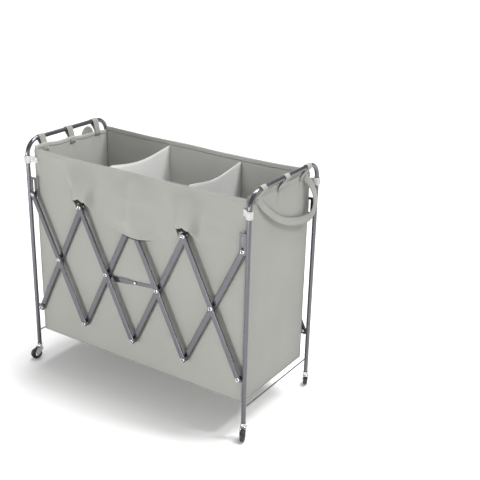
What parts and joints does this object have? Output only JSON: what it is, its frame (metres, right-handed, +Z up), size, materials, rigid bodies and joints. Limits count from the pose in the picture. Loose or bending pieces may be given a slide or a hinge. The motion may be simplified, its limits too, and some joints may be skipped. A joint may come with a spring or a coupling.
{
  "type": "rolling laundry sorter cart",
  "caption": "Collapsible rolling laundry sorter: a fabric bag with compartments hung between tube end frames on casters, joined by scissor lattices.",
  "frame": {"origin": "on the floor under the centre of the open cart", "axes": "+X along the cart towards the right end frame, +Y from the front lattice to the rear one, +Z up"},
  "size_m": [0.8938, 0.4432, 0.7998],
  "materials": {
    "frame": "metallic grey paint, satin",
    "chrome": "bright plated",
    "wheel": "black moulded",
    "bag_cloth": "plain woven polyester, grey-green",
    "divider_cloth": "lighter lining cloth",
    "strap_cloth": "woven webbing",
    "tie_cloth": "white hook-and-loop band"
  },
  "bodies": {
    "right_frame": {"right_end_tube": "frame", "right_base_wire": "frame", "bag_right_end": "bag_cloth", "right_handle": "strap_cloth", "right_front_guide_bracket": "frame", "right_front_lower_bracket": "frame", "right_front_leg_tie": "tie_cloth", "right_front_caster_stem": "chrome", "right_rear_guide_bracket": "frame", "right_rear_lower_bracket": "frame", "right_rear_leg_tie": "tie_cloth", "right_rear_caster_stem": "chrome", "bag_body": "bag_cloth"},
    "left_frame": {"left_end_tube": "frame", "left_base_wire": "frame", "bag_left_end": "bag_cloth", "left_handle": "strap_cloth", "left_front_guide_bracket": "frame", "left_front_lower_bracket": "frame", "left_front_leg_tie": "tie_cloth", "left_front_caster_stem": "chrome", "left_rear_guide_bracket": "frame", "left_rear_lower_bracket": "frame", "left_rear_leg_tie": "tie_cloth", "left_rear_caster_stem": "chrome", "left_pocket": "bag_cloth"},
    "falling_pair_1": {"front_falling_bar_1": "frame", "rear_falling_bar_1": "frame"},
    "rising_pair_1": {"front_rising_bar_1": "frame", "rear_rising_bar_1": "frame"},
    "falling_pair_2": {"front_falling_bar_2": "frame", "rear_falling_bar_2": "frame"},
    "rising_pair_2": {"front_rising_bar_2": "frame", "rear_rising_bar_2": "frame"},
    "falling_pair_3": {"front_falling_bar_3": "frame", "rear_falling_bar_3": "frame"},
    "rising_pair_3": {"front_rising_bar_3": "frame", "rear_rising_bar_3": "frame"},
    "falling_pair_4": {"front_falling_bar_4": "frame", "rear_falling_bar_4": "frame"},
    "rising_pair_4": {"front_rising_bar_4": "frame", "rear_rising_bar_4": "frame"},
    "wide_link": {"lock_link_wide": "frame"},
    "narrow_link": {"lock_link_narrow": "frame"},
    "left_divider": {"bag_left_divider": "divider_cloth"},
    "right_divider": {"bag_right_divider": "divider_cloth"},
    "left_front_swivel": {"left_front_caster_fork": "chrome", "left_front_caster_axle": "chrome"},
    "left_front_wheel": {"left_front_caster_wheel": "wheel"},
    "left_rear_swivel": {"left_rear_caster_fork": "chrome", "left_rear_caster_axle": "chrome"},
    "left_rear_wheel": {"left_rear_caster_wheel": "wheel"},
    "right_front_swivel": {"right_front_caster_fork": "chrome", "right_front_caster_axle": "chrome"},
    "right_front_wheel": {"right_front_caster_wheel": "wheel"},
    "right_rear_swivel": {"right_rear_caster_fork": "chrome", "right_rear_caster_axle": "chrome"},
    "right_rear_wheel": {"right_rear_caster_wheel": "wheel"}
  },
  "joints": [
    {"name": "fold", "type": "hinge", "parent": "right_frame", "child": "falling_pair_1", "pos_m": [0.4075, 0, 0.203], "axis": [0, 1, 0], "range_deg": [0, 20.86], "deforming": ["bag_body"]},
    {"name": "rising_1_turn", "type": "hinge", "parent": "falling_pair_1", "child": "rising_pair_1", "pos_m": [0.30562, 0, 0.4085], "axis": [0, 1, 0], "range_deg": [-41.73, 0]},
    {"name": "rising_2_turn", "type": "hinge", "parent": "falling_pair_1", "child": "rising_pair_2", "pos_m": [0.20375, 0, 0.614], "axis": [0, 1, 0], "range_deg": [-41.73, 0]},
    {"name": "falling_2_turn", "type": "hinge", "parent": "rising_pair_2", "child": "falling_pair_2", "pos_m": [0.10187, 0, 0.4085], "axis": [0, 1, 0], "range_deg": [0, 41.73]},
    {"name": "falling_3_turn", "type": "hinge", "parent": "rising_pair_2", "child": "falling_pair_3", "pos_m": [0, 0, 0.203], "axis": [0, 1, 0], "range_deg": [0, 41.73]},
    {"name": "rising_3_turn", "type": "hinge", "parent": "falling_pair_3", "child": "rising_pair_3", "pos_m": [-0.10187, 0, 0.4085], "axis": [0, 1, 0], "range_deg": [-41.73, 0]},
    {"name": "rising_4_turn", "type": "hinge", "parent": "falling_pair_3", "child": "rising_pair_4", "pos_m": [-0.20375, 0, 0.614], "axis": [0, 1, 0], "range_deg": [-41.73, 0]},
    {"name": "falling_4_turn", "type": "hinge", "parent": "rising_pair_4", "child": "falling_pair_4", "pos_m": [-0.30562, 0, 0.4085], "axis": [0, 1, 0], "range_deg": [0, 41.73]},
    {"name": "left_frame_turn", "type": "hinge", "parent": "rising_pair_4", "child": "left_frame", "pos_m": [-0.4075, 0, 0.203], "axis": [0, 1, 0], "range_deg": [0, 20.87]},
    {"name": "wide_link_turn", "type": "hinge", "parent": "rising_pair_3", "child": "wide_link", "pos_m": [-0.11076, -0.1785, 0.39058], "axis": [0, 1, 0], "range_deg": [-62.6, 0]},
    {"name": "narrow_link_turn", "type": "hinge", "parent": "falling_pair_2", "child": "narrow_link", "pos_m": [0.10187, -0.177, 0.4085], "axis": [0, 1, 0], "range_deg": [0, 49.2]},
    {"name": "left_divider_slide", "type": "slide", "parent": "right_frame", "child": "left_divider", "axis": [1, 0, 0], "range_m": [0, 0.4062]},
    {"name": "right_divider_slide", "type": "slide", "parent": "right_frame", "child": "right_divider", "axis": [1, 0, 0], "range_m": [0, 0.1762]},
    {"name": "left_front_swivel_turn", "type": "hinge", "parent": "left_frame", "child": "left_front_swivel", "pos_m": [-0.4275, -0.19, 0.045], "axis": [0, 0, 1], "continuous": true},
    {"name": "left_front_wheel_roll", "type": "hinge", "parent": "left_front_swivel", "child": "left_front_wheel", "pos_m": [-0.43364, -0.20258, 0.019], "axis": [0.8988, -0.4384, 0], "continuous": true},
    {"name": "left_rear_swivel_turn", "type": "hinge", "parent": "left_frame", "child": "left_rear_swivel", "pos_m": [-0.4275, 0.19, 0.045], "axis": [0, 0, 1], "continuous": true},
    {"name": "left_rear_wheel_roll", "type": "hinge", "parent": "left_rear_swivel", "child": "left_rear_wheel", "pos_m": [-0.43364, 0.20258, 0.019], "axis": [-0.8988, -0.4384, 0], "continuous": true},
    {"name": "right_front_swivel_turn", "type": "hinge", "parent": "right_frame", "child": "right_front_swivel", "pos_m": [0.4275, -0.19, 0.045], "axis": [0, 0, 1], "continuous": true},
    {"name": "right_front_wheel_roll", "type": "hinge", "parent": "right_front_swivel", "child": "right_front_wheel", "pos_m": [0.43364, -0.20258, 0.019], "axis": [0.8988, 0.4384, 0], "continuous": true},
    {"name": "right_rear_swivel_turn", "type": "hinge", "parent": "right_frame", "child": "right_rear_swivel", "pos_m": [0.4275, 0.19, 0.045], "axis": [0, 0, 1], "continuous": true},
    {"name": "right_rear_wheel_roll", "type": "hinge", "parent": "right_rear_swivel", "child": "right_rear_wheel", "pos_m": [0.42136, 0.20258, 0.019], "axis": [-0.8988, -0.4384, 0], "continuous": true}
  ],
  "couplings": [
    {"joint": "rising_1_turn", "follows": "fold", "ratio": -2},
    {"joint": "rising_2_turn", "follows": "fold", "ratio": -2},
    {"joint": "falling_2_turn", "follows": "fold", "ratio": 2},
    {"joint": "falling_3_turn", "follows": "fold", "ratio": 2},
    {"joint": "rising_3_turn", "follows": "fold", "ratio": -2},
    {"joint": "rising_4_turn", "follows": "fold", "ratio": -2},
    {"joint": "falling_4_turn", "follows": "fold", "ratio": 2},
    {"joint": "left_frame_turn", "follows": "fold", "ratio": 1},
    {"joint": "wide_link_turn", "follows": "fold", "ratio": -2.9991},
    {"joint": "narrow_link_turn", "follows": "fold", "ratio": 2.3559},
    {"joint": "left_divider_slide", "follows": "fold", "m_per_rad": 1.115},
    {"joint": "right_divider_slide", "follows": "fold", "m_per_rad": 0.483}
  ]
}
